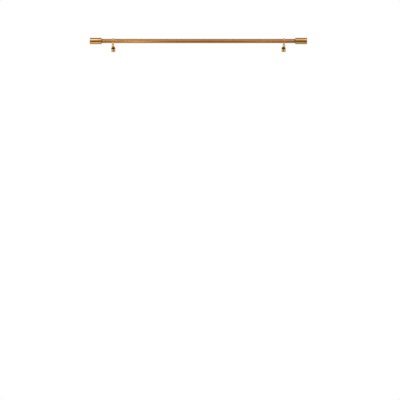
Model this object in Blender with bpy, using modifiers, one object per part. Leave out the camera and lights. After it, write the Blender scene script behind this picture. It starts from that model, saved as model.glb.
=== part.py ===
"""A brass curtain rod on two wall brackets, with a plain barrel finial at each end.

Metres, +Z up. The rod runs along X, the room is towards -Y and the wall is the plane y = 0.
The origin is on the wall, half way along the rod, at the height of the rod's axis.
"""

import math

import bmesh
import bpy
from mathutils import Euler, Vector

# Rod
ROD_DIAMETER = 0.03175
ROD_WALL = 0.0012
ROD_LENGTH = 1.412
ROD_PROJECTION = 0.089
INSERT_LENGTH = 0.020

# Finials
FINIAL_DIAMETER = 0.0484
FINIAL_LENGTH = 0.0862
FINIAL_WALL = 0.002
FINIAL_END_WALL = 0.003
FINIAL_EDGE = 0.0005
SPACER_INSET = 0.000375
SPACER_THICKNESS = 0.004
PLATE_THICKNESS = 0.003
PLATE_RECESS = 0.0008
STUD_DIAMETER = 0.008
STUD_IN_ROD = 0.015
STUD_PAST_NUT = 0.0025
NUT_ACROSS_FLATS = 0.013
NUT_THICKNESS = 0.0065

# Bracket rings and their necks
BRACKET_SPACING = 1.252
RING_WIDTH = 0.014
RING_WALL = 0.003
RING_CLEARANCE = 0.000325
RING_EDGE = 0.0008
NECK_DIAMETER = 0.014
FOOT_DIAMETER = 0.020
FOOT_DROP = 0.043
FLARE_START_DROP = 0.023
FLARE_END_DROP = 0.033
FOOT_EDGE = 0.0008
SOCKET_WALL = 0.0022
SOCKET_REACH = 0.013
SOCKET_PAST_AXIS = 0.004

# Arms
ARM_DIAMETER = 0.013
ARM_DROP = 0.0335
ARM_THREAD_DEPTH = 0.016

# Wall bases
BASE_WIDTH = 0.031
BASE_HEIGHT = 0.0385
BASE_BOTTOM_DROP = 0.0615
BASE_DEPTH = 0.012
BASE_WALL = 0.0025
BASE_FRONT_WALL = 0.0035
BASE_EDGE = 0.0009
BACKPLATE_THICKNESS = 0.004
BACKPLATE_LIP = 0.002
BACKPLATE_LIP_REACH = 0.007

# Screws: (diameter, length) unless named otherwise
RING_SCREW = (0.004, 0.006)
RING_SCREW_TILT = math.radians(45)
NECK_SCREW_DIAMETER = 0.005
NECK_SCREW_PROUD = 0.0006
BASE_SCREW_DIAMETER = 0.003
BASE_SCREW_PROUD = 0.0002
BASE_SCREW_SETBACK = 0.0045
ARM_BOLT_DIAMETER = 0.006
ARM_BOLT_IN_ARM = 0.0125
ARM_BOLT_HEAD = (0.010, 0.0025)
WALL_SCREW_DIAMETER = 0.0042
WALL_SCREW_HEAD_DIAMETER = 0.008
WALL_SCREW_LENGTH = 0.034
WALL_SCREW_TIP = 0.005
UPPER_SCREW_DROP = 0.032
LOWER_SCREW_DROP = 0.048
DRIVE_DEPTH = 0.0014

# Fits
TOUCH_GAP = 0.0003
CUT_EXTRA = 0.002

# Facets round a full circle, by size
LARGE_STEPS = 48
MEDIUM_STEPS = 32
SMALL_STEPS = 16
FLARE_STEPS = 6
SHARP_ANGLE = math.radians(30)

# Worked out from the sizes above
ROD_RADIUS = ROD_DIAMETER / 2
RING_BORE_RADIUS = ROD_RADIUS + RING_CLEARANCE
RING_RADIUS = RING_BORE_RADIUS + RING_WALL
ARM_SOCKET_RADIUS = ARM_DIAMETER / 2 + TOUCH_GAP
SOCKET_RADIUS = ARM_SOCKET_RADIUS + SOCKET_WALL
BASE_TOP_DROP = BASE_BOTTOM_DROP - BASE_HEIGHT
SPACER_START = ROD_LENGTH / 2 + TOUCH_GAP
PLATE_START = SPACER_START + SPACER_THICKNESS + TOUCH_GAP
FINIAL_START = PLATE_START - PLATE_RECESS
NUT_START = PLATE_START + PLATE_THICKNESS + TOUCH_GAP
STUD_LENGTH = NUT_START + NUT_THICKNESS + STUD_PAST_NUT - (ROD_LENGTH / 2 - STUD_IN_ROD)

# Turning local +Z to each world direction
TO_RIGHT = Euler((0, math.pi / 2, 0))
TO_LEFT = Euler((0, -math.pi / 2, 0))
TO_WALL = Euler((-math.pi / 2, 0, 0))
TO_ROOM = Euler((math.pi / 2, 0, 0))
UPWARD = Euler((0, 0, 0))
DOWNWARD = Euler((math.pi, 0, 0))
SIDES = (("left", -1, TO_LEFT), ("right", 1, TO_RIGHT))


def clear_scene():
    for obj in list(bpy.data.objects):
        bpy.data.objects.remove(obj, do_unlink=True)


def new_collection(name):
    collection = bpy.data.collections.new(name)
    bpy.context.scene.collection.children.link(collection)
    return collection


def finish(name, colour, roughness, metallic=1.0):
    material = bpy.data.materials.new(name)
    material.use_nodes = True
    shader = material.node_tree.nodes["Principled BSDF"]
    shader.inputs["Base Color"].default_value = (*colour, 1.0)
    shader.inputs["Roughness"].default_value = roughness
    shader.inputs["Metallic"].default_value = metallic
    material.diffuse_color = (*colour, 1.0)
    return material


def place(name, mesh, material, location, turn, collection):
    obj = bpy.data.objects.new(name, mesh)
    obj.location = location
    obj.rotation_euler = turn
    collection.objects.link(obj)
    if material:
        mesh.materials.append(material)
    return obj


def turned(name, profile, closed, steps, material, location, turn, collection):
    """Turn (radius, height) points about local Z; the points run down the outer side."""
    mesh = bpy.data.meshes.new(name)
    edges = [(i, i + 1) for i in range(len(profile) - 1)]
    if closed:
        edges.append((len(profile) - 1, 0))
    mesh.from_pydata([(radius, 0, height) for radius, height in profile], edges, [])
    obj = place(name, mesh, material, location, turn, collection)
    screw = obj.modifiers.new("turn", "SCREW")
    screw.axis = "Z"
    screw.steps = steps
    screw.render_steps = steps
    screw.use_merge_vertices = True
    screw.merge_threshold = 0.00001
    screw.use_smooth_shade = True
    return obj


def cylinder(name, diameter, length, steps, material, location, turn, collection):
    """A plain cylinder standing on its origin along local Z."""
    work = bmesh.new()
    bmesh.ops.create_cone(
        work, cap_ends=True, segments=steps,
        radius1=diameter / 2, radius2=diameter / 2, depth=length,
    )
    bmesh.ops.translate(work, verts=work.verts, vec=(0, 0, length / 2))
    mesh = bpy.data.meshes.new(name)
    work.to_mesh(mesh)
    work.free()
    return place(name, mesh, material, location, turn, collection)


def box(name, size, centre, material, collection):
    work = bmesh.new()
    bmesh.ops.create_cube(work, size=1)
    bmesh.ops.scale(work, verts=work.verts, vec=size)
    mesh = bpy.data.meshes.new(name)
    work.to_mesh(mesh)
    work.free()
    return place(name, mesh, material, centre, UPWARD, collection)


def arch_slab(name, width, height, thickness, front, foot, x, material, collection):
    """A slab with a flat foot and a half-round top, its front face at y = front."""
    half = width / 2
    shoulder = foot + height - half
    turn_count = MEDIUM_STEPS // 2
    outline = [(-half, foot), (half, foot)]
    for step in range(turn_count + 1):
        angle = math.pi * step / turn_count
        outline.append((half * math.cos(angle), shoulder + half * math.sin(angle)))
    curve = bpy.data.curves.new(name, "CURVE")
    curve.dimensions = "2D"
    curve.fill_mode = "BOTH"
    curve.extrude = thickness / 2
    spline = curve.splines.new("POLY")
    spline.points.add(len(outline) - 1)
    for point, (across, up) in zip(spline.points, outline):
        point.co = (across, up, 0, 1)
    spline.use_cyclic_u = True
    guide = place(name + "_outline", curve, None, (x, front + thickness / 2, 0), TO_ROOM, collection)
    bpy.context.view_layer.update()
    graph = bpy.context.evaluated_depsgraph_get()
    mesh = bpy.data.meshes.new_from_object(guide.evaluated_get(graph))
    mesh.name = name
    work = bmesh.new()
    work.from_mesh(mesh)
    bmesh.ops.remove_doubles(work, verts=work.verts, dist=0.000001)
    bmesh.ops.dissolve_limit(work, angle_limit=math.radians(1), verts=work.verts, edges=work.edges)
    bmesh.ops.recalc_face_normals(work, faces=work.faces)
    work.to_mesh(mesh)
    work.free()
    mesh.materials.clear()
    slab = place(name, mesh, material, guide.location, TO_ROOM, collection)
    bpy.data.objects.remove(guide, do_unlink=True)
    return slab


def cut(obj, cutter, operation="DIFFERENCE"):
    cutter.hide_render = True
    cutter.display_type = "WIRE"
    boolean = obj.modifiers.new(cutter.name, "BOOLEAN")
    boolean.operation = operation
    boolean.solver = "EXACT"
    boolean.object = cutter


def bevel(obj, width, segments=2):
    rounding = obj.modifiers.new("edge", "BEVEL")
    rounding.width = width
    rounding.segments = segments
    rounding.limit_method = "ANGLE"
    rounding.angle_limit = math.radians(40)


def bevel_front_edges(obj, width):
    """Round only the outline of the slab's front face, and its two foot corners."""
    mesh = obj.data
    front = max(vertex.co.z for vertex in mesh.vertices)
    foot = min(vertex.co.y for vertex in mesh.vertices)
    weights = mesh.attributes.new("bevel_weight_edge", "FLOAT", "EDGE")
    for edge in mesh.edges:
        ends = [mesh.vertices[index].co for index in edge.vertices]
        outline = all(front - end.z < TOUCH_GAP for end in ends)
        corner = all(end.y - foot < TOUCH_GAP for end in ends) and abs(ends[0].z - ends[1].z) > width
        weights.data[edge.index].value = 1.0 if outline or corner else 0.0
    rounding = obj.modifiers.new("edge", "BEVEL")
    rounding.width = width
    rounding.segments = 3
    rounding.limit_method = "WEIGHT"


def hex_cut(obj, across_flats, depth, location, turn, cutters):
    """Sink a hexagonal key socket into obj, from location along local +Z."""
    across_corners = across_flats / math.cos(math.pi / 6)
    start = Vector(location) - turn.to_matrix() @ Vector((0, 0, CUT_EXTRA))
    tool = cylinder(
        obj.name + "_key", across_corners, depth + CUT_EXTRA, 6, None, start, turn, cutters,
    )
    cut(obj, tool)


def hole(obj, suffix, diameter, length, location, turn, cutters, steps=SMALL_STEPS):
    tool = cylinder(
        obj.name + "_" + suffix, diameter, length, steps, None, location, turn, cutters,
    )
    cut(obj, tool)


def grub_screw(name, diameter, length, tip, turn, material, parts, cutters):
    """A headless socket screw whose tip is at tip and whose key socket is at its +Z end."""
    radius = diameter / 2
    point = radius * 0.35
    profile = [
        (0, length), (radius - point / 2, length), (radius, length - point / 2),
        (radius, point), (radius - point, 0), (0, 0),
    ]
    screw = turned(name, profile, False, SMALL_STEPS, material, tip, turn, parts)
    outward = turn.to_matrix() @ Vector((0, 0, 1))
    back = Euler((turn.x + math.pi, turn.y, turn.z))
    hex_cut(screw, radius, DRIVE_DEPTH, Vector(tip) + outward * length, back, cutters)
    return screw


def make_rod(brass, steel, parts):
    inner = ROD_RADIUS - ROD_WALL
    half = ROD_LENGTH / 2
    turned(
        "rod_tube", [(ROD_RADIUS, half), (ROD_RADIUS, -half), (inner, -half), (inner, half)],
        True, LARGE_STEPS, brass, (0, -ROD_PROJECTION, 0), TO_RIGHT, parts,
    )
    plug = inner - TOUCH_GAP
    bore = STUD_DIAMETER / 2 + TOUCH_GAP
    for side, sign, outward in SIDES:
        turned(
            "rod_insert_" + side, [(plug, 0), (plug, -INSERT_LENGTH), (bore, -INSERT_LENGTH), (bore, 0)],
            True, MEDIUM_STEPS, steel, (sign * half, -ROD_PROJECTION, 0), outward, parts,
        )


def make_finial(side, sign, outward, brass, dark, steel, parts, cutters):
    """A turned cup, closed by a plate that a stud and its nut hold; the stud screws into the rod."""
    def at(distance):
        return (sign * distance, -ROD_PROJECTION, 0)

    radius = FINIAL_DIAMETER / 2
    inner = radius - FINIAL_WALL
    depth = FINIAL_LENGTH - FINIAL_END_WALL
    turned(
        "finial_barrel_" + side,
        [
            (0, FINIAL_LENGTH), (radius - FINIAL_EDGE, FINIAL_LENGTH), (radius, FINIAL_LENGTH - FINIAL_EDGE),
            (radius, FINIAL_EDGE), (radius - FINIAL_EDGE, 0), (inner, 0), (inner, depth), (0, depth),
        ],
        False, LARGE_STEPS, brass, at(FINIAL_START), outward, parts,
    )
    plate = inner - TOUCH_GAP
    bore = STUD_DIAMETER / 2 + TOUCH_GAP
    turned(
        "finial_plate_" + side,
        [(plate, PLATE_THICKNESS), (plate, 0), (bore, 0), (bore, PLATE_THICKNESS)],
        True, LARGE_STEPS, brass, at(PLATE_START), outward, parts,
    )
    spacer = ROD_RADIUS - SPACER_INSET
    turned(
        "finial_spacer_" + side,
        [(spacer, SPACER_THICKNESS), (spacer, 0), (bore, 0), (bore, SPACER_THICKNESS)],
        True, MEDIUM_STEPS, dark, at(SPACER_START), outward, parts,
    )
    stud = STUD_DIAMETER / 2
    chamfer = stud / 4
    turned(
        "finial_stud_" + side,
        [
            (0, STUD_LENGTH), (stud - chamfer, STUD_LENGTH), (stud, STUD_LENGTH - chamfer),
            (stud, chamfer), (stud - chamfer, 0), (0, 0),
        ],
        False, SMALL_STEPS, steel, at(ROD_LENGTH / 2 - STUD_IN_ROD), outward, parts,
    )
    corner = NUT_ACROSS_FLATS / math.cos(math.pi / 6)
    nut = cylinder("finial_nut_" + side, corner, NUT_THICKNESS, 6, steel, at(NUT_START), outward, parts)
    hole(
        nut, "thread", 2 * bore, NUT_THICKNESS + 2 * CUT_EXTRA, at(NUT_START - CUT_EXTRA), outward, cutters,
    )


def make_ring(side, x, brass, black, parts, cutters):
    """One casting: a ring round the rod, a neck that flares to a round foot, and the arm's socket."""
    axis = Vector((x, -ROD_PROJECTION, 0))
    ring = cylinder(
        "bracket_ring_" + side, 2 * RING_RADIUS, RING_WIDTH, LARGE_STEPS, brass,
        axis - Vector((RING_WIDTH / 2, 0, 0)), TO_RIGHT, parts,
    )
    bevel(ring, RING_EDGE)
    neck = NECK_DIAMETER / 2
    foot = FOOT_DIAMETER / 2
    profile = [(0, -ROD_RADIUS), (neck, -ROD_RADIUS)]
    for step in range(FLARE_STEPS + 1):
        share = step / FLARE_STEPS
        swell = (1 - math.cos(math.pi * share)) / 2
        drop = FLARE_START_DROP + (FLARE_END_DROP - FLARE_START_DROP) * share
        profile.append((neck + (foot - neck) * swell, -drop))
    profile += [
        (foot, FOOT_EDGE - FOOT_DROP), (foot - FOOT_EDGE, -FOOT_DROP), (0, -FOOT_DROP),
    ]
    post = turned(ring.name + "_neck", profile, False, MEDIUM_STEPS, None, axis, UPWARD, cutters)
    cut(ring, post, "UNION")
    arm_axis = axis - Vector((0, 0, ARM_DROP))
    boss = cylinder(
        ring.name + "_socket", 2 * SOCKET_RADIUS, SOCKET_REACH, MEDIUM_STEPS, None,
        arm_axis, TO_WALL, cutters,
    )
    cut(ring, boss, "UNION")
    hole(
        ring, "rod_bore", 2 * RING_BORE_RADIUS, RING_WIDTH + 2 * CUT_EXTRA,
        axis - Vector((RING_WIDTH / 2 + CUT_EXTRA, 0, 0)), TO_RIGHT, cutters, LARGE_STEPS,
    )
    hole(
        ring, "arm_bore", 2 * ARM_SOCKET_RADIUS, SOCKET_PAST_AXIS + SOCKET_REACH + CUT_EXTRA,
        arm_axis - Vector((0, SOCKET_PAST_AXIS, 0)), TO_WALL, cutters, MEDIUM_STEPS,
    )
    tip = axis - Vector((0, 0, ARM_DROP + ARM_DIAMETER / 2 + TOUCH_GAP))
    hole(
        ring, "neck_screw_hole", NECK_SCREW_DIAMETER + 2 * TOUCH_GAP, FOOT_DROP - ARM_DROP + CUT_EXTRA,
        arm_axis, DOWNWARD, cutters,
    )
    grub_screw(
        "neck_screw_" + side, NECK_SCREW_DIAMETER, FOOT_DROP + NECK_SCREW_PROUD + tip.z, tip,
        DOWNWARD, black, parts, cutters,
    )
    diameter, length = RING_SCREW
    back_and_up = Euler((-RING_SCREW_TILT, 0, 0))
    outward = back_and_up.to_matrix() @ Vector((0, 0, 1))
    hole(
        ring, "ring_screw_hole", diameter + 2 * TOUCH_GAP, RING_RADIUS, axis + outward * ROD_RADIUS / 2,
        back_and_up, cutters,
    )
    grub_screw(
        "ring_screw_" + side, diameter, length, axis + outward * RING_BORE_RADIUS,
        back_and_up, black, parts, cutters,
    )


def make_arm(side, x, brass, steel, parts, cutters):
    """A plain bar from the ring's socket to the wall base, where a bolt draws it tight."""
    front = ROD_PROJECTION + SOCKET_PAST_AXIS - TOUCH_GAP
    root = BASE_DEPTH + TOUCH_GAP
    arm = cylinder(
        "bracket_arm_" + side, ARM_DIAMETER, front - root, MEDIUM_STEPS, brass,
        (x, -root, -ARM_DROP), TO_ROOM, parts,
    )
    bolt_bore = ARM_BOLT_DIAMETER + 2 * TOUCH_GAP
    hole(
        arm, "bolt_bore", bolt_bore, ARM_THREAD_DEPTH + CUT_EXTRA,
        (x, CUT_EXTRA - root, -ARM_DROP), TO_ROOM, cutters,
    )
    head_diameter, head_thickness = ARM_BOLT_HEAD
    head = head_diameter / 2
    shank = ARM_BOLT_DIAMETER / 2
    reach = BASE_FRONT_WALL + 2 * TOUCH_GAP + ARM_BOLT_IN_ARM
    seat = BASE_DEPTH - BASE_FRONT_WALL - TOUCH_GAP
    bolt = turned(
        "arm_bolt_" + side,
        [
            (0, reach), (shank * 0.8, reach), (shank, reach - shank * 0.2), (shank, 0),
            (head, 0), (head, -head_thickness), (0, -head_thickness),
        ],
        False, SMALL_STEPS, steel, (x, -seat, -ARM_DROP), TO_ROOM, parts,
    )
    hex_cut(bolt, shank, DRIVE_DEPTH, (x, head_thickness - seat, -ARM_DROP), TO_ROOM, cutters)
    return bolt_bore


def make_base(side, x, bolt_bore, brass, steel, black, parts, cutters):
    """A hollow arch-topped base that hides a steel backplate; a grub screw from below locks the two."""
    cover = arch_slab(
        "base_cover_" + side, BASE_WIDTH, BASE_HEIGHT, BASE_DEPTH - TOUCH_GAP,
        -BASE_DEPTH, -BASE_BOTTOM_DROP, x, brass, parts,
    )
    bevel_front_edges(cover, BASE_EDGE)
    hollow = arch_slab(
        cover.name + "_hollow", BASE_WIDTH - 2 * BASE_WALL, BASE_HEIGHT - 2 * BASE_WALL,
        BASE_DEPTH - BASE_FRONT_WALL + CUT_EXTRA,
        BASE_FRONT_WALL - BASE_DEPTH, BASE_WALL - BASE_BOTTOM_DROP, x, None, cutters,
    )
    cut(cover, hollow)
    hole(
        cover, "bolt_bore", bolt_bore, BASE_FRONT_WALL + 2 * CUT_EXTRA,
        (x, CUT_EXTRA + BASE_FRONT_WALL - BASE_DEPTH, -ARM_DROP), TO_ROOM, cutters,
    )
    lip_bottom = BASE_BOTTOM_DROP - BASE_WALL - 2 * TOUCH_GAP
    tip = Vector((x, -BASE_SCREW_SETBACK, -lip_bottom - TOUCH_GAP))
    hole(
        cover, "grub_hole", BASE_SCREW_DIAMETER + 2 * TOUCH_GAP, BASE_WALL + 2 * CUT_EXTRA,
        (x, -BASE_SCREW_SETBACK, CUT_EXTRA + BASE_WALL - BASE_BOTTOM_DROP), DOWNWARD, cutters,
    )
    grub_screw(
        "base_screw_" + side, BASE_SCREW_DIAMETER, BASE_BOTTOM_DROP + BASE_SCREW_PROUD + tip.z, tip,
        DOWNWARD, black, parts, cutters,
    )
    inset = BASE_WALL + TOUCH_GAP
    plate = arch_slab(
        "backplate_" + side, BASE_WIDTH - 2 * inset,
        BASE_HEIGHT - inset - BASE_WALL - 2 * TOUCH_GAP, BACKPLATE_THICKNESS,
        -BACKPLATE_THICKNESS, -lip_bottom, x, steel, parts,
    )
    lip = box(
        plate.name + "_lip", (BASE_WIDTH - 2 * inset, BACKPLATE_LIP_REACH - TOUCH_GAP, BACKPLATE_LIP),
        (x, -(BACKPLATE_LIP_REACH + TOUCH_GAP) / 2, BACKPLATE_LIP / 2 - lip_bottom), None, cutters,
    )
    cut(plate, lip, "UNION")
    for level, drop in (("upper", UPPER_SCREW_DROP), ("lower", LOWER_SCREW_DROP)):
        make_wall_screw(side, level, (x, -BACKPLATE_THICKNESS, -drop), plate, steel, parts, cutters)


def make_wall_screw(side, level, head_centre, plate, steel, parts, cutters):
    """A countersunk wood screw, flush in the backplate, and the hole it goes through."""
    shank = WALL_SCREW_DIAMETER / 2
    head = WALL_SCREW_HEAD_DIAMETER / 2
    cone = head - shank
    centre = Vector(head_centre)
    profile = [
        (0, WALL_SCREW_LENGTH), (shank, WALL_SCREW_LENGTH - WALL_SCREW_TIP), (shank, cone), (head, 0), (0, 0),
    ]
    name = f"wall_screw_{level}_{side}"
    screw = turned(name, profile, False, SMALL_STEPS, steel, centre, TO_WALL, parts)
    slot = shank / 2
    sunk = 2 * DRIVE_DEPTH
    for number, size in enumerate(((2 * cone, sunk, slot), (slot, sunk, 2 * cone))):
        cut(screw, box(f"{name}_cross_{number}", size, centre, None, cutters))
    wide = head + TOUCH_GAP
    narrow = shank + TOUCH_GAP
    seat = turned(
        name + "_seat",
        [
            (0, BACKPLATE_THICKNESS + CUT_EXTRA), (narrow, BACKPLATE_THICKNESS + CUT_EXTRA),
            (narrow, wide - narrow), (wide, 0), (wide, -CUT_EXTRA), (0, -CUT_EXTRA),
        ],
        False, SMALL_STEPS, None, centre, TO_WALL, cutters,
    )
    cut(plate, seat)


def settle(collection):
    """Fix every modifier into its mesh and shade the round faces smooth."""
    bpy.context.view_layer.update()
    graph = bpy.context.evaluated_depsgraph_get()
    made = {obj: bpy.data.meshes.new_from_object(obj.evaluated_get(graph)) for obj in collection.objects}
    for obj, mesh in made.items():
        obj.modifiers.clear()
        obj.data = mesh
        mesh.shade_smooth()
        mesh.set_sharp_from_angle(angle=SHARP_ANGLE)


def main():
    clear_scene()
    parts = new_collection("curtain_rod_with_brackets")
    cutters = new_collection("cutters")
    satin_brass = finish("satin_brass", (0.52, 0.29, 0.09), 0.38)
    polished_brass = finish("polished_brass", (0.66, 0.42, 0.16), 0.22)
    steel = finish("zinc_plated_steel", (0.62, 0.63, 0.64), 0.35)
    black_steel = finish("blackened_steel", (0.03, 0.03, 0.032), 0.45)
    fibre = finish("black_fibre", (0.02, 0.015, 0.01), 0.8, 0.0)
    make_rod(satin_brass, steel, parts)
    for side, sign, outward in SIDES:
        x = sign * BRACKET_SPACING / 2
        make_finial(side, sign, outward, polished_brass, fibre, steel, parts, cutters)
        make_ring(side, x, polished_brass, black_steel, parts, cutters)
        bolt_bore = make_arm(side, x, polished_brass, steel, parts, cutters)
        make_base(side, x, bolt_bore, polished_brass, steel, black_steel, parts, cutters)
    settle(parts)


main()
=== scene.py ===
"""A brass curtain rod on two ring brackets: the finished surfaces, a pale studio and the camera."""

import math

import bmesh
import bpy
import numpy as np
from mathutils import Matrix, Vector


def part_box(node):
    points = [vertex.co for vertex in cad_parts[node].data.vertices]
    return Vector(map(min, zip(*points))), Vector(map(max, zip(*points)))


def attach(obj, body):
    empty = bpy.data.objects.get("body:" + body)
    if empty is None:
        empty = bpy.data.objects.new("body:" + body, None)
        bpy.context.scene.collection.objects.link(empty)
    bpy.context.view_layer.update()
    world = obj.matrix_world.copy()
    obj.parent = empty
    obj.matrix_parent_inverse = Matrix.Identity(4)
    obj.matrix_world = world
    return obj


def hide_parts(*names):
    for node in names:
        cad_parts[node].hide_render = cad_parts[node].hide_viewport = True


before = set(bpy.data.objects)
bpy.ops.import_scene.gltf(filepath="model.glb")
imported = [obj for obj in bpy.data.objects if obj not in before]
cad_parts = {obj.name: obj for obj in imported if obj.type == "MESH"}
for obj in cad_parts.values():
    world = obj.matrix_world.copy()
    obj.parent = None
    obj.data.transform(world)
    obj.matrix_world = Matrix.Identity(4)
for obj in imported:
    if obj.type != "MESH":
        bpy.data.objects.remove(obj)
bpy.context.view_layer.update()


# ---------------------------------------------------------------------------------------------
# The rod: one length of drawn brass tube, 1 1/4 in across, satin brushed along its length and
# lacquered. Its ends are cut square and deburred, darkened with painted shade where the spacers meet it.
# ---------------------------------------------------------------------------------------------

EAST = Vector((1, 0, 0))
TO_WALL = Vector((0, 1, 0))
UP = Vector((0, 0, 1))
SHALLOW_CORNER = math.radians(20)
ARC_SHARES = (0.0, 0.25, 0.5, 0.75, 1.0)
WELD = 0.000001


def eased(outline, ease, loop):
    """Round each corner of a turned outline by a small arc of that setback."""
    points = [np.array(point, float) for point in outline]
    count = len(points)
    rounded = []
    for index, corner in enumerate(points):
        if not loop and index in (0, count - 1):
            rounded.append(corner)
            continue
        before = points[index - 1] - corner
        after = points[(index + 1) % count] - corner
        turn_angle = abs(math.atan2(np.cross(before, after), np.dot(before, after)))
        reach = min(ease, np.linalg.norm(before) / 3, np.linalg.norm(after) / 3)
        if math.pi - turn_angle < SHALLOW_CORNER or reach <= 0:
            rounded.append(corner)
            continue
        start = corner + before / np.linalg.norm(before) * reach
        end = corner + after / np.linalg.norm(after) * reach
        for share in ARC_SHARES:
            low = start + (corner - start) * share
            high = corner + (end - corner) * share
            rounded.append(low + (high - low) * share)
    return rounded


def frame_along(direction):
    """Three unit vectors: two across the direction, and the direction itself."""
    along = Vector(direction).normalized()
    helper = UP if abs(along.z) < 0.9 else TO_WALL
    across = helper.cross(along).normalized()
    return across, along.cross(across), along


def weld(work):
    """Join points that lie on each other, and clear away any face left without area."""
    bmesh.ops.remove_doubles(work, verts=work.verts, dist=WELD)
    bmesh.ops.dissolve_degenerate(work, dist=WELD, edges=work.edges)


def skin(name, rings, capped, closed_loop=False):
    """A mesh whose rows of points go round an axis; capped ends fill in with one face each."""
    rows, steps = len(rings), len(rings[0])
    points = [tuple(point) for ring in rings for point in ring]
    faces = []
    for row in range(rows if closed_loop else rows - 1):
        here, there = row * steps, ((row + 1) % rows) * steps
        for step in range(steps):
            turn = (step + 1) % steps
            faces.append((here + step, here + turn, there + turn, there + step))
    if capped:
        faces.append(tuple(reversed(range(steps))))
        faces.append(tuple(range((rows - 1) * steps, rows * steps)))
    mesh = bpy.data.meshes.new(name)
    mesh.from_pydata(points, [], faces)
    work = bmesh.new()
    work.from_mesh(mesh)
    weld(work)
    bmesh.ops.recalc_face_normals(work, faces=work.faces)
    work.to_mesh(mesh)
    work.free()
    piece = bpy.data.objects.new(name, mesh)
    bpy.context.scene.collection.objects.link(piece)
    return piece


def smooth(piece, degrees=35):
    """Shade the piece smooth, but keep edges sharper than this crisp."""
    piece.data.shade_smooth()
    piece.data.set_sharp_from_angle(angle=math.radians(degrees))
    return piece


def turned(name, outline, start, direction, ease=0.0003, steps=128, loop=False):
    """Turn (radius, distance) points about a line from start; an open outline is capped flat."""
    across, up, along = frame_along(direction)
    rings = []
    for radius, distance in eased(outline, ease, loop):
        centre = Vector(start) + along * distance
        ring = []
        for step in range(steps):
            angle = 2 * math.pi * step / steps
            ring.append(centre + (across * math.cos(angle) + up * math.sin(angle)) * radius)
        rings.append(ring)
    return smooth(skin(name, rings, not loop, loop))


def finish_named(name):
    """A new material, its node tree and its shader."""
    material = bpy.data.materials.new(name)
    material.use_nodes = True
    return material, material.node_tree, material.node_tree.nodes["Principled BSDF"]


def add(tree, kind, **settings):
    """A new node; a setting whose name is an input's sets that input, any other sets the node."""
    made = tree.nodes.new("ShaderNode" + kind)
    for key, value in settings.items():
        if key in made.inputs:
            made.inputs[key].default_value = value
        else:
            setattr(made, key, value)
    return made


def place_of(tree):
    """Where a point of the surface lies on the object, in metres."""
    return add(tree, "TexCoord").outputs["Object"]


def grain(tree, stretch, detail=3.0, roughness=0.6):
    """Noise drawn out along the axes whose stretch is small; stretch is in cycles a metre."""
    mapping = add(tree, "Mapping")
    mapping.inputs["Scale"].default_value = stretch
    tree.links.new(place_of(tree), mapping.inputs["Vector"])
    noise = add(tree, "TexNoise", Scale=1.0, Detail=detail, Roughness=roughness)
    tree.links.new(mapping.outputs["Vector"], noise.inputs["Vector"])
    return noise.outputs["Fac"]


def between(tree, value, low, high, start=0.3, end=0.7):
    """Map a noise value from start..end onto low..high."""
    span = add(tree, "MapRange")
    span.inputs["From Min"].default_value = start
    span.inputs["From Max"].default_value = end
    span.inputs["To Min"].default_value = low
    span.inputs["To Max"].default_value = high
    tree.links.new(value, span.inputs["Value"])
    return span.outputs["Result"]


def blended(tree, share, first, second):
    """Mix two colours, or a colour socket and a colour, by a 0..1 share."""
    mix = add(tree, "Mix", data_type="RGBA")
    sockets = (mix.inputs[6], mix.inputs[7])
    for socket, colour in zip(sockets, (first, second)):
        if isinstance(colour, tuple):
            socket.default_value = (*colour, 1.0)
        else:
            tree.links.new(colour, socket)
    tree.links.new(share, mix.inputs[0])
    return mix.outputs[2]


def relief(tree, height, strength, distance, under=None):
    """Fine marks in the surface, over any coarser ones given as under."""
    bump = add(tree, "Bump", Strength=strength, Distance=distance)
    tree.links.new(height, bump.inputs["Height"])
    if under:
        tree.links.new(under, bump.inputs["Normal"])
    return bump.outputs["Normal"]


TUBE_WALL = 0.0012
TUBE_EASE = 0.00025
TUBE_STEPS = 192
ROD_TONES = ((0.56, 0.262, 0.060), (0.61, 0.295, 0.072))
STROKE_BROWN = (0.42, 0.180, 0.032)
SCRATCH_GOLD = (0.78, 0.46, 0.17)
PATINA_BROWN = (0.34, 0.15, 0.040)
ROD_END_SHADE_BLACK = (0.060, 0.022, 0.003)
END_SHADE_REACH = 0.0025


def satin_brass():
    """Brass brushed along the rod: long fine scratches, slow drifts of tone, painted shade at the ends.
    """
    material, tree, shader = finish_named("satin_brass")
    drift = grain(tree, (3.0, 25.0, 25.0), 3.0)
    scratches = grain(tree, (22.0, 3200.0, 3200.0), 4.0, 0.6)
    strokes = grain(tree, (11.0, 850.0, 850.0), 3.0, 0.55)
    patina = grain(tree, (220.0, 420.0, 420.0), 6.0, 0.65)
    tone = blended(tree, between(tree, drift, 0.0, 1.0), *ROD_TONES)
    tone = blended(tree, between(tree, strokes, 0.0, 0.30), tone, STROKE_BROWN)
    tone = blended(tree, between(tree, scratches, 0.0, 0.45), tone, SCRATCH_GOLD)
    tone = blended(tree, between(tree, patina, 0.0, 0.45, 0.60, 0.78), tone, PATINA_BROWN)
    along = add(tree, "SeparateXYZ")
    tree.links.new(place_of(tree), along.inputs["Vector"])
    far = add(tree, "Math", operation="ABSOLUTE")
    tree.links.new(along.outputs["X"], far.inputs[0])
    # Painted shade: the rod darkens over its last few millimetres, for the contact shade at the finials'
    # spacers.
    first_dark = rod_length / 2 - END_SHADE_REACH
    full_dark = rod_length / 2 - 0.4 * END_SHADE_REACH
    end_shade = between(tree, far.outputs["Value"], 0.0, 0.9, first_dark, full_dark)
    tone = blended(tree, end_shade, tone, ROD_END_SHADE_BLACK)
    tree.links.new(tone, shader.inputs["Base Color"])
    tree.links.new(between(tree, scratches, 0.34, 0.44), shader.inputs["Roughness"])
    brushed = relief(tree, strokes, 0.35, 0.00003)
    tree.links.new(relief(tree, scratches, 0.25, 0.000015, brushed), shader.inputs["Normal"])
    shader.inputs["Metallic"].default_value = 1.0
    shader.inputs["Coat Weight"].default_value = 0.3
    shader.inputs["Coat Roughness"].default_value = 0.3
    return material


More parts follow.
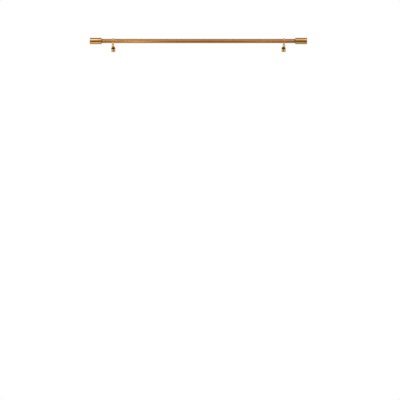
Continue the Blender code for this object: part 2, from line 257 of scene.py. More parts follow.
def dress(piece, material, slot, body, *nodes):
    """Give a piece its finish, hang it on its body and let it stand for its CAD nodes."""
    piece.data.materials.clear()
    piece.data.materials.append(material)
    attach(piece, body)
    if nodes:
        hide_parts(*nodes)


tube_low, tube_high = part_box("rod_tube")
rod_radius = (tube_high.z - tube_low.z) / 2
rod_axis = (tube_low + tube_high) / 2
rod_length = tube_high.x - tube_low.x
tube_bore = rod_radius - TUBE_WALL
SATIN_BRASS = satin_brass()
rod = turned(
    "rod",
    [(rod_radius, 0), (rod_radius, rod_length), (tube_bore, rod_length), (tube_bore, 0)],
    (tube_low.x, rod_axis.y, rod_axis.z), EAST, TUBE_EASE, TUBE_STEPS, True,
)
dress(rod, SATIN_BRASS, "satin_brass", "rod", "rod_tube")


# ---------------------------------------------------------------------------------------------
# The inserts: zinc-plated steel plugs pressed into the two ends of the tube and tapped for the
# finials' studs. Only their faces show, once a finial is off.
# ---------------------------------------------------------------------------------------------

WEST = Vector((-1, 0, 0))
SIDES = (("left", WEST), ("right", EAST))
ZINC_BLUE = (0.60, 0.62, 0.65)
ZINC_YELLOW = (0.70, 0.68, 0.60)
ZINC_PIT = (0.36, 0.36, 0.36)


def zinc_plate():
    """Bright zinc on steel: a cold sheen with faint yellow and blue drifts and fine machining."""
    material, tree, shader = finish_named("zinc_plated_steel")
    drift = grain(tree, (180.0, 180.0, 180.0), 2.0)
    pits = grain(tree, (2400.0, 2400.0, 2400.0), 4.0)
    tone = blended(tree, between(tree, drift, 0.0, 1.0), ZINC_BLUE, ZINC_YELLOW)
    tone = blended(tree, between(tree, pits, 0.0, 0.4, 0.5, 0.75), tone, ZINC_PIT)
    tree.links.new(tone, shader.inputs["Base Color"])
    tree.links.new(between(tree, pits, 0.26, 0.44), shader.inputs["Roughness"])
    tree.links.new(relief(tree, pits, 0.2, 0.00003), shader.inputs["Normal"])
    shader.inputs["Metallic"].default_value = 1.0
    return material


def refinish(node, material):
    """Keep a CAD node as it is, and give it a better finish."""
    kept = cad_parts[node]
    kept.data.materials.clear()
    kept.data.materials.append(material)


ZINC = zinc_plate()
for side, outward in SIDES:
    refinish("rod_insert_" + side, ZINC)


# ---------------------------------------------------------------------------------------------
# The finials: plain brass cups turned from bar, polished and lacquered, their edges just broken.
# A brass plate closes the open end, against a black fibre spacer on the rod's end; the spacer's black is
# painted shade for the joint.
# ---------------------------------------------------------------------------------------------

FINIAL_TONES = ((0.73, 0.43, 0.130), (0.80, 0.49, 0.165))
HAIRLINE_BROWN = (0.52, 0.27, 0.065)
SMUDGE_BROWN = (0.50, 0.27, 0.075)
PALE_EDGE_WEAR_AND_HIGHLIGHT = (0.95, 0.72, 0.38)
SPACER_SHADE_BLACK = (0.010, 0.006, 0.004)
FIBRE_STRAND = (0.045, 0.030, 0.020)
ACROSS_THE_ROD = (5200.0, 160.0, 160.0)
CUP_WALL = 0.002
CUP_END = 0.003
CUP_EASE = 0.0007
CUP_STEPS = 192
DISC_EASE = 0.0003
STUD_CLEARANCE = 0.0003
STUD_PITCH = 0.00125
STUD_THREAD = 0.0007
STUD_CHAMFER = 0.001


def polished_brass(name, rings, tones, lacquer=0.6, shade=None):
    """Fine-turned brass: faint tool rings, soft cloudy tone, and edges paler, partly wear and partly a
    painted highlight.
    """
    material, tree, shader = finish_named(name)
    cloud = grain(tree, (45.0, 90.0, 90.0), 4.0)
    tool = grain(tree, rings, 3.0)
    smudge = grain(tree, (260.0, 260.0, 260.0), 5.0, 0.65)
    hairlines = grain(tree, tuple(0.22 * size for size in rings), 2.0)
    tone = blended(tree, between(tree, cloud, 0.0, 1.0), *tones)
    tone = blended(tree, between(tree, hairlines, 0.0, 0.16), tone, HAIRLINE_BROWN)
    tone = blended(tree, between(tree, smudge, 0.0, 0.45, 0.58, 0.80), tone, SMUDGE_BROWN)
    edge_pointiness = add(tree, "NewGeometry").outputs["Pointiness"]
    # Painted highlight mixed with wear: sharp convex edges are lightened by pointiness.
    tone = blended(tree, between(tree, edge_pointiness, 0.0, 0.6, 0.53, 0.60), tone, PALE_EDGE_WEAR_AND_HIGHLIGHT)
    if shade:
        tone = shade(tree, tone)
    tree.links.new(tone, shader.inputs["Base Color"])
    if not shader.inputs["Roughness"].is_linked:
        tree.links.new(between(tree, smudge, 0.15, 0.25), shader.inputs["Roughness"])
    turned_lines = relief(tree, hairlines, 0.16, 0.00004)
    tree.links.new(relief(tree, tool, 0.15, 0.00003, turned_lines), shader.inputs["Normal"])
    shader.inputs["Metallic"].default_value = 1.0
    shader.inputs["Coat Weight"].default_value = lacquer
    shader.inputs["Coat Roughness"].default_value = 0.12
    return material


def black_fibre():
    """Pressed black fibre: matt, with short pale strands; its near-black tone is painted shade for the
    joint.
    """
    material, tree, shader = finish_named("black_fibre")
    strands = grain(tree, (2600.0, 500.0, 2600.0), 5.0, 0.7)
    # Painted shade: the spacer's near-black tone stands in for the dark contact shade where finial and
    # rod meet.
    tone = blended(tree, between(tree, strands, 0.0, 1.0, 0.45, 0.75), SPACER_SHADE_BLACK, FIBRE_STRAND)
    tree.links.new(tone, shader.inputs["Base Color"])
    tree.links.new(between(tree, strands, 0.62, 0.85), shader.inputs["Roughness"])
    tree.links.new(relief(tree, strands, 0.5, 0.0001), shader.inputs["Normal"])
    return material


def threaded(name, core, length, start, direction, pitch, depth, steps=40, rows_a_turn=8, sharp=0.5):
    """A screw thread cut in a turned core; core(distance) is the radius at the crest."""
    across, up, along = frame_along(direction)
    rows = int(length / pitch * rows_a_turn) + 1
    rings = []
    for row in range(rows + 1):
        distance = length * row / rows
        centre = Vector(start) + along * distance
        crest = core(distance)
        fade = min(1.0, max(0.0, min(distance, length - distance) / pitch))
        ring = []
        for step in range(steps):
            angle = 2 * math.pi * step / steps
            phase = (distance / pitch - step / steps) % 1.0
            groove = min(1.0, abs(2 * phase - 1) / sharp)
            radius = crest - depth * fade * groove
            ring.append(centre + (across * math.cos(angle) + up * math.sin(angle)) * radius)
        rings.append(ring)
    return smooth(skin(name, rings, True), 50)


POLISHED_BRASS = polished_brass("polished_brass", ACROSS_THE_ROD, FINIAL_TONES)
SHADE_FIBRE = black_fibre()
for side, outward in SIDES:
    cup_low, cup_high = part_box("finial_barrel_" + side)
    cup_radius = (cup_high.z - cup_low.z) / 2
    cup_length = cup_high.x - cup_low.x
    cup_mouth = cup_low.x if side == "right" else cup_high.x
    hollow = cup_radius - CUP_WALL
    cup = turned(
        "finial_" + side,
        [
            (0, cup_length), (cup_radius, cup_length), (cup_radius, 0), (hollow, 0),
            (hollow, cup_length - CUP_END), (0, cup_length - CUP_END),
        ],
        (cup_mouth, rod_axis.y, rod_axis.z), outward, CUP_EASE, CUP_STEPS,
    )
    dress(cup, POLISHED_BRASS, "polished_brass", side + "_finial", "finial_barrel_" + side)
    stud_low, stud_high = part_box("finial_stud_" + side)
    stud_radius = (stud_high.z - stud_low.z) / 2
    stud_length = stud_high.x - stud_low.x
    stud_tip = stud_low.x if side == "right" else stud_high.x
    for part, slot, material, body in (
        ("plate", "polished_brass", POLISHED_BRASS, side + "_finial"),
        ("spacer", "black_fibre", SHADE_FIBRE, side + "_spacer"),
    ):
        low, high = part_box(f"finial_{part}_{side}")
        bore = stud_radius + STUD_CLEARANCE
        radius = (high.z - low.z) / 2
        thick = high.x - low.x
        near = low.x if side == "right" else high.x
        disc = turned(
            f"finial_{part}_disc_{side}",
            [(radius, 0), (radius, thick), (bore, thick), (bore, 0)],
            (near, rod_axis.y, rod_axis.z), outward, DISC_EASE, loop=True,
        )
        dress(disc, material, slot, body, f"finial_{part}_{side}")

    def stud_core(distance):
        """Full thread, with a lead-in chamfer at both ends."""
        lead = min(distance, stud_length - distance)
        return stud_radius - max(0.0, STUD_CHAMFER - lead)

    stud = threaded(
        "finial_stud_thread_" + side, stud_core, stud_length, (stud_tip, rod_axis.y, rod_axis.z),
        outward, STUD_PITCH, STUD_THREAD,
    )
    dress(stud, ZINC, "zinc_plated_steel", side + "_finial", "finial_stud_" + side)
    refinish("finial_nut_" + side, ZINC)


# ---------------------------------------------------------------------------------------------
# The bracket rings: each is one brass casting, a ring round the rod on a neck that flares to a
# round foot, with a socket at the back for the arm. It is cast, polished, and then bored.
# ---------------------------------------------------------------------------------------------

DOWN = Vector((0, 0, -1))
RING_WIDTH = 0.014
RING_CLEARANCE = 0.000325
NECK_RADIUS = 0.007
NECK_INTO_RING = 0.0015
FOOT_RADIUS = 0.010
FLARE_TOP_DROP = 0.023
FLARE_FOOT_DROP = 0.033
FLARE_STEPS = 12
SOCKET_RADIUS = 0.009
SOCKET_REACH = 0.013
SOCKET_PAST_AXIS = 0.004
SOCKET_IN_NECK = 0.001
SOCKET_SEAT = 0.002
CAST_EASE = 0.0009
SOCKET_EASE = 0.0006
CAST_CELL = 0.00035
CAST_PASSES = 6
LEFT_FOR_BORING = 0.001
ARM_CLEARANCE = 0.0003
NECK_SCREW_BORE = 0.0028
RING_SCREW_BORE = 0.0023
PAST_THE_FACE = 0.002


def melted_together(name, blanks, cell, passes):
    """Join overlapping blanks into one skin, and soften where they meet as polishing would."""
    meshes = bmesh.new()
    for blank in blanks:
        meshes.from_mesh(blank.data)
        bpy.data.objects.remove(blank, do_unlink=True)
    mesh = bpy.data.meshes.new(name)
    meshes.to_mesh(mesh)
    meshes.free()
    piece = bpy.data.objects.new(name, mesh)
    bpy.context.scene.collection.objects.link(piece)
    fuse = piece.modifiers.new("fuse", "REMESH")
    fuse.mode = "VOXEL"
    fuse.voxel_size = cell
    fuse.use_smooth_shade = True
    polish = piece.modifiers.new("polish", "SMOOTH")
    polish.factor = 0.5
    polish.iterations = passes
    return settled(piece)


def settled(piece):
    """Fix the piece's modifiers into its mesh."""
    bpy.context.view_layer.update()
    graph = bpy.context.evaluated_depsgraph_get()
    mesh = bpy.data.meshes.new_from_object(piece.evaluated_get(graph))
    piece.modifiers.clear()
    piece.data = mesh
    return piece


def machined(piece, *cutters):
    """Cut each cutter out of the piece, and clear the cutter away."""
    for cutter in cutters:
        cut = piece.modifiers.new("cut", "BOOLEAN")
        cut.operation = "DIFFERENCE"
        cut.solver = "EXACT"
        cut.object = cutter
    settled(piece)
    work = bmesh.new()
    work.from_mesh(piece.data)
    weld(work)
    work.to_mesh(piece.data)
    work.free()
    for cutter in cutters:
        bpy.data.objects.remove(cutter, do_unlink=True)
    return piece


def rod_shaped(name, radius, start, direction, length, steps=96):
    """A plain bar, mostly for cutting a bore with."""
    return turned(name, [(radius, 0), (radius, length)], start, direction, 0, steps)


for side, outward in SIDES:
    low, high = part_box("bracket_ring_" + side)
    arm_low, arm_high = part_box("bracket_arm_" + side)
    x = (low.x + high.x) / 2
    centre = Vector((x, rod_axis.y, rod_axis.z))
    arm_axis = Vector((x, rod_axis.y, (arm_low.z + arm_high.z) / 2))
    arm_radius = (arm_high.z - arm_low.z) / 2
    ring_radius = high.z - rod_axis.z
    ring_bore = rod_radius + RING_CLEARANCE
    foot_drop = rod_axis.z - low.z
    rough_bore = ring_bore - LEFT_FOR_BORING
    band = turned(
        "ring_blank",
        [(ring_radius, 0), (ring_radius, RING_WIDTH), (rough_bore, RING_WIDTH), (rough_bore, 0)],
        centre - EAST * RING_WIDTH / 2, EAST, CAST_EASE, 160, True,
    )
    profile = [(NECK_RADIUS, -rod_radius - NECK_INTO_RING)]
    for step in range(FLARE_STEPS + 1):
        share = step / FLARE_STEPS
        swell = (1 - math.cos(math.pi * share)) / 2
        drop = FLARE_TOP_DROP + (FLARE_FOOT_DROP - FLARE_TOP_DROP) * share
        profile.append((NECK_RADIUS + (FOOT_RADIUS - NECK_RADIUS) * swell, -drop))
    profile += [(FOOT_RADIUS, -foot_drop), (0.0005, -foot_drop)]
    neck = turned("neck_blank", profile, centre, UP, CAST_EASE, 96)
    socket = turned(
        "socket_blank",
        [
            (SOCKET_RADIUS, -SOCKET_IN_NECK), (SOCKET_RADIUS, SOCKET_REACH),
            (SOCKET_RADIUS - SOCKET_SEAT, SOCKET_REACH),
        ],
        arm_axis, TO_WALL, SOCKET_EASE, 96,
    )
    ring = melted_together("bracket_ring_cast_" + side, [band, neck, socket], CAST_CELL, CAST_PASSES)
    screw_low, screw_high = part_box("ring_screw_" + side)
    screw_way = ((screw_low + screw_high) / 2 - centre).normalized()
    machined(
        ring,
        rod_shaped("rod_bore", ring_bore, centre - EAST * RING_WIDTH, EAST, 2 * RING_WIDTH, 160),
        rod_shaped(
            "arm_bore", arm_radius + ARM_CLEARANCE, arm_axis - TO_WALL * SOCKET_PAST_AXIS, TO_WALL,
            SOCKET_PAST_AXIS + SOCKET_REACH + PAST_THE_FACE,
        ),
        rod_shaped("neck_screw_bore", NECK_SCREW_BORE, arm_axis, DOWN, foot_drop),
        rod_shaped(
            "ring_screw_bore", RING_SCREW_BORE, centre + screw_way * rod_radius / 2, screw_way,
            ring_radius,
        ),
    )
    smooth(ring, 30)
    dress(ring, POLISHED_BRASS, "polished_brass", "brackets", "bracket_ring_" + side)


# ---------------------------------------------------------------------------------------------
# The grub screws: black-oxide steel, threaded from end to end, with a hexagon key socket. One
# locks the rod in its ring, one the arm in its socket, and one each base on its backplate.
# ---------------------------------------------------------------------------------------------

OXIDE_BLACK = (0.022, 0.022, 0.024)
OXIDE_BROWN = (0.075, 0.068, 0.060)
RUBBED_CREST = (0.22, 0.20, 0.18)
UP_TO_THE_WALL = Vector((0, 1, 1)).normalized()
KEY_DEPTH = 0.0014
KEY_ABOVE_HEAD = 0.001
HEAD_CHAMFER = 0.2
CUP_POINT = 0.35
GRUB_THREAD = 0.5
GRUB_STEPS = 48


def black_oxide():
    """Oil-blacked steel: near black, semi-gloss, rubbed brown on its crests."""
    material, tree, shader = finish_named("blackened_steel")
    rub = grain(tree, (1500.0, 1500.0, 1500.0), 4.0)
    tone = blended(tree, between(tree, rub, 0.0, 1.0), OXIDE_BLACK, OXIDE_BROWN)
    edge_pointiness = add(tree, "NewGeometry").outputs["Pointiness"]
    tone = blended(tree, between(tree, edge_pointiness, 0.0, 0.6, 0.54, 0.64), tone, RUBBED_CREST)
    tree.links.new(tone, shader.inputs["Base Color"])
    tree.links.new(between(tree, rub, 0.30, 0.48), shader.inputs["Roughness"])
    tree.links.new(relief(tree, rub, 0.2, 0.00003), shader.inputs["Normal"])
    shader.inputs["Metallic"].default_value = 1.0
    return material


def key_socket(head, direction, across_flats, depth):
    """A six-sided cutter that sinks into the head against the given direction."""
    return rod_shaped(
        "key", across_flats / math.cos(math.pi / 6) / 2, head + direction * KEY_ABOVE_HEAD, -direction,
        depth + KEY_ABOVE_HEAD, 6,
    )


BLACK_STEEL = black_oxide()
for side, outward in SIDES:
    for screw_name, body, direction, pitch in (
        ("ring_screw_", side + "_ring_screw", UP_TO_THE_WALL, 0.0007),
        ("neck_screw_", "brackets", DOWN, 0.0008),
        ("base_screw_", side + "_base_screw", DOWN, 0.0005),
    ):
        low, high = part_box(screw_name + side)
        middle = (low + high) / 2
        radius = (high.x - low.x) / 2
        if direction == DOWN:
            length = high.z - low.z
        else:
            length = (high.z - low.z) * math.sqrt(2) - 2 * radius
        tip = middle - direction * length / 2

        def grub_core(distance):
            """A chamfer on the head and a blunt cup point."""
            head_lead = max(0.0, HEAD_CHAMFER * radius - (length - distance))
            tip_lead = max(0.0, CUP_POINT * radius - distance)
            return radius - head_lead - tip_lead

        grub = threaded(
            screw_name + "grub_" + side, grub_core, length, tip, direction, pitch,
            pitch * GRUB_THREAD, GRUB_STEPS,
        )
        machined(grub, key_socket(tip + direction * length, direction, radius, KEY_DEPTH))
        smooth(grub, 40)
        dress(grub, BLACK_STEEL, "blackened_steel", body, screw_name + side)


# ---------------------------------------------------------------------------------------------
# The arms: half-inch brass bar, faced square, that runs from each ring's socket back to the
# base. The underside is darkened with painted shade.
# ---------------------------------------------------------------------------------------------

TO_ROOM = Vector((0, -1, 0))
ACROSS_THE_ARM = (160.0, 5200.0, 160.0)
ARM_UNDERSIDE_SHADE = (0.060, 0.027, 0.006)
ARM_EASE = 0.0005
ARM_CENTRE_HOLE = 0.0004
BOLT_BORE = 0.0033
BOLT_DEPTH = 0.016


def painted_shade_below(tree, tone):
    """Painted shade that deepens from the bar's waist to its underside."""
    apart = add(tree, "SeparateXYZ")
    tree.links.new(place_of(tree), apart.inputs["Vector"])
    darkest = arm_axis.z - 0.7 * arm_radius
    unshaded = arm_axis.z + 0.3 * arm_radius
    # Painted shade: the colour darkens towards the arm's underside.
    share = between(tree, apart.outputs["Z"], 0.96, 0.0, darkest, unshaded)
    return blended(tree, share, tone, ARM_UNDERSIDE_SHADE)


ARM_BRASS = polished_brass("arm_brass", ACROSS_THE_ARM, FINIAL_TONES, shade=painted_shade_below)
for side, outward in SIDES:
    low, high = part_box("bracket_arm_" + side)
    middle = (low + high) / 2
    radius = (high.z - low.z) / 2
    length = high.y - low.y
    arm = turned(
        "arm_" + side,
        [(ARM_CENTRE_HOLE, 0), (radius, 0), (radius, length), (ARM_CENTRE_HOLE, length)],
        (middle.x, high.y, middle.z), TO_ROOM, ARM_EASE, 96,
    )
    bore_start = (middle.x, high.y + PAST_THE_FACE, middle.z)
    machined(arm, rod_shaped("bolt_bore", BOLT_BORE, bore_start, TO_ROOM, BOLT_DEPTH + PAST_THE_FACE, 48))
    smooth(arm)
    dress(arm, ARM_BRASS, "polished_brass", "brackets", "bracket_arm_" + side)
    refinish("arm_bolt_" + side, ZINC)


# ---------------------------------------------------------------------------------------------
# The wall bases: hollow brass covers with a round top and a flat foot, their front edges rolled.
# Each slides down over a steel backplate, and a grub screw in its foot locks it there.
# ---------------------------------------------------------------------------------------------

FOOT_CORNER = 0.0012
CORNER_STEPS = 4
ARCH_STEPS = 64
ROLL_STEPS = 6
SHADE_EDGE_HEIGHT = -0.0396
SHADE_BLEND = 0.0005
SHADE_RAGGED = 0.0010
BASE_SHADE_BROWN = (0.092, 0.040, 0.003)
BASE_TONES = ((0.88, 0.59, 0.235), (0.95, 0.67, 0.300))
BASE_GLOSS = (0.19, 0.5)
BASE_LACQUER = 0.15
DOWN_THE_BASE = (300.0, 160.0, 2400.0)
COVER_WALL = 0.0025
COVER_FRONT = 0.0035
COVER_EDGE = 0.0009
CAVITY_EDGE = 0.0006
BASE_GRUB_BORE = 0.0018


def arch_outline(x, foot, width, height, inset):
    """Points round an arch, drawn in by inset on every side, as seen from the room."""
    half = width / 2 - inset
    shoulder = foot + height - width / 2
    corner = min(FOOT_CORNER, half / 2)
    rise = foot + inset + corner
    points = []
    for step in range(CORNER_STEPS + 1):
        angle = math.radians(-90 + 90 * step / CORNER_STEPS)
        points.append((half - corner + corner * math.cos(angle), rise + corner * math.sin(angle)))
    for step in range(ARCH_STEPS + 1):
        angle = math.pi * step / ARCH_STEPS
        points.append((half * math.cos(angle), shoulder + half * math.sin(angle)))
    for step in range(CORNER_STEPS + 1):
        angle = math.pi + math.radians(90 * step / CORNER_STEPS)
        points.append((corner - half + corner * math.cos(angle), rise + corner * math.sin(angle)))
    return [(x + across, up) for across, up in points]


def arch_block(name, x, foot, width, height, back, front, edge):
    """An arch-topped block from y = back to y = front, with its front outline rolled over."""
    rings = [[(px, back, pz) for px, pz in arch_outline(x, foot, width, height, 0)]]
    for step in range(ROLL_STEPS + 1):
        angle = math.radians(90 * step / ROLL_STEPS)
        inset = edge * (1 - math.cos(angle))
        y = front + edge * (1 - math.sin(angle))
        rings.append([(px, y, pz) for px, pz in arch_outline(x, foot, width, height, inset)])
    return smooth(skin(name, rings, True))


def painted_shade_round_arm(tree, tone):
    """Painted shade on the front above a ragged line near the arm's root, rougher there; the rest of the
    base keeps its bright tone.
    """
    apart = add(tree, "SeparateXYZ")
    tree.links.new(place_of(tree), apart.inputs["Vector"])
    ragged = grain(tree, (420.0, 420.0, 420.0), 4.0)
    edge = add(tree, "Math", operation="MULTIPLY_ADD")
    tree.links.new(ragged, edge.inputs[0])
    edge.inputs[1].default_value = SHADE_RAGGED
    tree.links.new(apart.outputs["Z"], edge.inputs[2])
    # Painted shade: front-facing surfaces above this height turn dark brown, for the shade under the arm.
    above = between(tree, edge.outputs["Value"], 0.0, 0.95, SHADE_EDGE_HEIGHT, SHADE_EDGE_HEIGHT + SHADE_BLEND)
    facing = add(tree, "SeparateXYZ")
    tree.links.new(add(tree, "TexCoord").outputs["Normal"], facing.inputs["Vector"])
    front = between(tree, facing.outputs["Y"], 1.0, 0.12, -0.9, -0.4)
    share = add(tree, "Math", operation="MULTIPLY")
    tree.links.new(above, share.inputs[0])
    tree.links.new(front, share.inputs[1])
    shader = tree.nodes["Principled BSDF"]
    gloss = between(tree, share.outputs["Value"], *BASE_GLOSS, 0.0, 1.0)
    tree.links.new(gloss, shader.inputs["Roughness"])
    return blended(tree, share.outputs["Value"], tone, BASE_SHADE_BROWN)


BASE_BRASS = polished_brass("base_brass", DOWN_THE_BASE, BASE_TONES, BASE_LACQUER, painted_shade_round_arm)
for side, outward in SIDES:
    low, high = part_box("base_cover_" + side)
    bolt_low, bolt_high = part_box("arm_bolt_" + side)
    grub_low, grub_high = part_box("base_screw_" + side)
    x = (low.x + high.x) / 2
    width, height = high.x - low.x, high.z - low.z
    cover = arch_block("cover_" + side, x, low.z, width, height, high.y, low.y, COVER_EDGE)
    cavity = arch_block(
        "cavity", x, low.z + COVER_WALL, width - 2 * COVER_WALL, height - 2 * COVER_WALL,
        high.y + PAST_THE_FACE, low.y + COVER_FRONT, CAVITY_EDGE,
    )
    bolt_axis = Vector((x, low.y + COVER_FRONT + PAST_THE_FACE, (bolt_low.z + bolt_high.z) / 2))
    grub_axis = Vector((x, (grub_low.y + grub_high.y) / 2, low.z + COVER_WALL + PAST_THE_FACE))
    machined(
        cover, cavity,
        rod_shaped("bolt_hole", BOLT_BORE, bolt_axis, TO_ROOM, COVER_FRONT + 2 * PAST_THE_FACE, 48),
        rod_shaped("grub_hole", BASE_GRUB_BORE, grub_axis, DOWN, COVER_WALL + 2 * PAST_THE_FACE, 48),
    )
    smooth(cover)
    dress(cover, BASE_BRASS, "polished_brass", "brackets", "base_cover_" + side)


# ---------------------------------------------------------------------------------------------
# The backplates: pressed zinc-plated steel with a folded lip, each fixed by two countersunk
# wood screws whose tapered threads stand out behind, in the wall.
# ---------------------------------------------------------------------------------------------

WOOD_PITCH = 0.0018
WOOD_THREAD = 0.0007
WOOD_HEAD_RADIUS = 0.004
WOOD_SHANK_RADIUS = 0.0021
WOOD_TIP = 0.008
WOOD_POINT = 0.0002
THREAD_START = 0.010
THREAD_RUN_IN = 0.002
CREST_SHARE = 0.35
WOOD_STEPS = 40
WOOD_ROWS = 10
CROSS_HALF_WIDTH = 0.0006
CROSS_REACH = 0.0022
for side, outward in SIDES:
    refinish("backplate_" + side, ZINC)
    for level in ("upper", "lower"):
        node = f"wall_screw_{level}_{side}"
        low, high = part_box(node)
        middle = (low + high) / 2
        length = high.y - low.y
        head = Vector((middle.x, low.y, middle.z))

        def wood_core(distance):
            """A countersunk head, a straight shank, and a long taper to the point."""
            if distance < WOOD_HEAD_RADIUS - WOOD_SHANK_RADIUS:
                return WOOD_HEAD_RADIUS - distance
            taper = max(0.0, distance - (length - WOOD_TIP)) / WOOD_TIP
            return max(WOOD_POINT, WOOD_SHANK_RADIUS * (1 - taper * taper))

        def wood_screw_rings():
            """Thread on the last two thirds of the shank only, thin crests on a slimmer root."""
            across, up, along = frame_along(TO_WALL)
            rows = int(length / WOOD_PITCH * WOOD_ROWS)
            rings = []
            for row in range(rows + 1):
                distance = length * row / rows
                crest = wood_core(distance)
                bite = min(1.0, max(0.0, (distance - THREAD_START) / THREAD_RUN_IN))
                bite *= min(1.0, crest / WOOD_SHANK_RADIUS)
                ring = []
                for step in range(WOOD_STEPS):
                    angle = 2 * math.pi * step / WOOD_STEPS
                    phase = (distance / WOOD_PITCH - step / WOOD_STEPS) % 1.0
                    groove = min(1.0, abs(2 * phase - 1) / CREST_SHARE)
                    radius = crest - WOOD_THREAD * bite * groove
                    around = across * math.cos(angle) + up * math.sin(angle)
                    ring.append(head + along * distance + around * radius)
                rings.append(ring)
            return rings

        screw = smooth(skin(f"wood_screw_{level}_{side}", wood_screw_rings(), True), 50)
        slots = [
            rod_shaped("slot", CROSS_HALF_WIDTH, head - way * CROSS_REACH, way, 2 * CROSS_REACH, 4)
            for way in (EAST, UP)
        ]
        machined(screw, *slots)
        smooth(screw, 50)
        dress(screw, ZINC, "zinc_plated_steel", "brackets", node)


# ---------------------------------------------------------------------------------------------
# The studio: a pale floor well below the rod with a light of its own, two soft boxes above and
# in front, three small ones low down, and a banded room that the brass reflects. The camera
# looks up from a distance.
# ---------------------------------------------------------------------------------------------

FLOOR_DROP = 4.2
FLOOR_RADIUS = 5.0
FLOOR_FADE = 1.6
FLOOR_STEPS = 96
FLOOR_IN_REFLECTIONS = (0.56, 0.55, 0.53)
CAMERA_DISTANCE = 24.0
CAMERA_BELOW = math.radians(14.5)
FRAME_WIDTH = 2.932
ROD_ABOVE_CENTRE = 1.1655
ROD_LEFT_OF_CENTRE = 0.0114
SENSOR = 36.0
SIDE_STARTS, SIDE_FULL = 0.25, 0.6
BACK_STARTS, BACK_FULL = 0.1, 0.4


def pale_floor():
    """Pale matt sheet, faintly mottled, whose rim fades out so that no edge shows."""
    material, tree, shader = finish_named("pale_floor")
    mottle = grain(tree, (3.0, 3.0, 3.0), 3.0)
    pale = blended(tree, between(tree, mottle, 0.0, 1.0), (0.90, 0.90, 0.895), (0.94, 0.94, 0.935))
    seen = add(tree, "LightPath").outputs["Is Camera Ray"]
    tree.links.new(blended(tree, seen, FLOOR_IN_REFLECTIONS, pale), shader.inputs["Base Color"])
    shader.inputs["Roughness"].default_value = 0.9
    reach = add(tree, "VectorMath", operation="LENGTH")
    tree.links.new(place_of(tree), reach.inputs[0])
    rim = between(tree, reach.outputs["Value"], 1.0, 0.0, FLOOR_RADIUS - FLOOR_FADE, FLOOR_RADIUS)
    above = between(tree, add(tree, "NewGeometry").outputs["Backfacing"], 1.0, 0.0, 0.0, 1.0)
    cover = add(tree, "Math", operation="MULTIPLY")
    tree.links.new(rim, cover.inputs[0])
    tree.links.new(above, cover.inputs[1])
    tree.links.new(cover.outputs["Value"], shader.inputs["Alpha"])
    return material


floor_rim = []
for step in range(FLOOR_STEPS):
    angle = 2 * math.pi * step / FLOOR_STEPS
    floor_rim.append((FLOOR_RADIUS * math.cos(angle), FLOOR_RADIUS * math.sin(angle), 0))
floor_sheet = bpy.data.meshes.new("floor")
floor_sheet.from_pydata(floor_rim, [], [tuple(range(FLOOR_STEPS))])
floor = bpy.data.objects.new("floor", floor_sheet)
bpy.context.scene.collection.objects.link(floor)
floor.data.materials.append(pale_floor())
floor.location = (0, 0, -FLOOR_DROP)


def soft_box(name, place, aim, size, radiance):
    """A square-edged soft light that the camera itself doesn't see."""
    lamp = bpy.data.lights.new(name, "AREA")
    lamp.shape = "RECTANGLE"
    lamp.size, lamp.size_y = size
    lamp.energy = radiance * math.pi * size[0] * size[1]
    light = bpy.data.objects.new(name, lamp)
    light.location = place
    light.rotation_euler = (Vector(aim) - Vector(place)).to_track_quat("-Z", "Y").to_euler()
    light.visible_camera = False
    bpy.context.scene.collection.objects.link(light)


soft_box("left_soft_box", (-1.35, -1.9, 0.98), (-0.9, 0, 0), (1.4, 0.8), 1.2)
soft_box("right_soft_box", (1.55, -1.9, 0.98), (0.9, 0, 0), (1.0, 0.8), 0.5)
soft_box("low_left_soft_box", (-0.72, -0.65, -1.15), (-0.72, -0.05, 0), (0.40, 0.35), 0.4)
soft_box("left_bracket_soft_box", (-0.50, -0.44, -0.35), (-0.52, -0.09, 0), (0.20, 0.25), 2.4)
soft_box("right_bracket_soft_box", (0.54, -0.44, -0.35), (0.56, -0.09, 0), (0.16, 0.20), 1.0)
soft_box("floor_light", (-2.2, -0.4, -2.6), (-1.3, 0.1, -FLOOR_DROP), (1.2, 2.4), 4.2)

world = bpy.data.worlds.new("studio")
bpy.context.scene.world = world
world.use_nodes = True
sky = world.node_tree
sky.nodes.clear()
heading = add(sky, "SeparateXYZ")
sky.links.new(add(sky, "TexCoord").outputs["Generated"], heading.inputs["Vector"])


def banded(tree, value, bands):
    """A colour for each height of the sky; bands are (degrees above level, colour)."""
    ramp = add(tree, "ValToRGB")
    stops = ramp.color_ramp.elements
    while len(stops) < len(bands):
        stops.new(0.5)
    for stop, (degrees, colour) in zip(stops, bands):
        stop.position = (1 + math.sin(math.radians(degrees))) / 2
        stop.color = (*colour, 1.0)
    tree.links.new(between(tree, value, 0.0, 1.0, -1.0, 1.0), ramp.inputs["Fac"])
    return ramp.outputs["Color"]


def grey(level):
    """The same level of red, green and blue."""
    return (level, level, level)


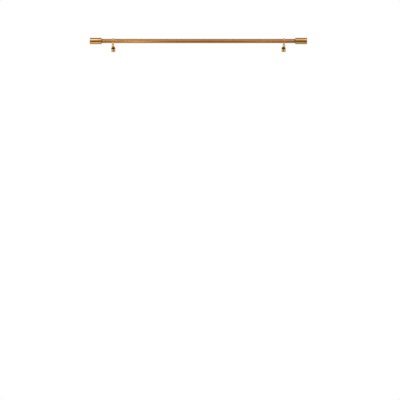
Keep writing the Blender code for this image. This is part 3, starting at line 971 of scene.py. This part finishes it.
WARM_DARK = (0.17, 0.105, 0.022)
WARM_DARKEST = (0.12, 0.072, 0.014)
FRONT = banded(sky, heading.outputs["Z"], (
    (-90, grey(0.60)), (-58, grey(0.50)), (-46, WARM_DARK), (5, WARM_DARKEST),
    (14, grey(0.90)), (46, grey(1.30)), (58, grey(0.32)), (90, grey(0.28)),
))
SIDES_AND_BACK = banded(sky, heading.outputs["Z"], (
    (-90, grey(0.70)), (-20, grey(0.55)), (0, grey(0.80)), (12, grey(1.0)),
    (50, grey(1.0)), (62, grey(0.5)), (90, grey(0.42)),
))
aside = add(sky, "Math", operation="ABSOLUTE")
sky.links.new(heading.outputs["X"], aside.inputs[0])
off_axis = between(sky, aside.outputs["Value"], 0.0, 1.0, SIDE_STARTS, SIDE_FULL)
behind = between(sky, heading.outputs["Y"], 0.0, 1.0, BACK_STARTS, BACK_FULL)
elsewhere = add(sky, "Math", operation="MAXIMUM")
sky.links.new(off_axis, elsewhere.inputs[0])
sky.links.new(behind, elsewhere.inputs[1])
studio = add(sky, "Background", Strength=1.0)
sky.links.new(blended(sky, elsewhere.outputs["Value"], FRONT, SIDES_AND_BACK), studio.inputs["Color"])
paper = add(sky, "Background", Strength=1.0)
paper.inputs["Color"].default_value = (*grey(1.0), 1.0)
choice = add(sky, "MixShader")
sky.links.new(add(sky, "LightPath").outputs["Is Camera Ray"], choice.inputs["Fac"])
sky.links.new(studio.outputs["Background"], choice.inputs[1])
sky.links.new(paper.outputs["Background"], choice.inputs[2])
sky.links.new(choice.outputs["Shader"], add(sky, "OutputWorld").inputs["Surface"])
bpy.context.scene.view_settings.view_transform = "Standard"

lens_tilt = math.asin(ROD_ABOVE_CENTRE / CAMERA_DISTANCE)
camera_data = bpy.data.cameras.new("camera")
camera_data.sensor_width = SENSOR
camera_data.lens = SENSOR * CAMERA_DISTANCE * math.cos(lens_tilt) / FRAME_WIDTH
camera_data.clip_end = 100
camera = bpy.data.objects.new("camera", camera_data)
camera.location = (
    ROD_LEFT_OF_CENTRE,
    rod_axis.y - CAMERA_DISTANCE * math.cos(CAMERA_BELOW),
    rod_axis.z - CAMERA_DISTANCE * math.sin(CAMERA_BELOW),
)
camera.rotation_euler = (math.pi / 2 + CAMERA_BELOW - lens_tilt, 0, 0)
bpy.context.scene.collection.objects.link(camera)
bpy.context.scene.camera = camera
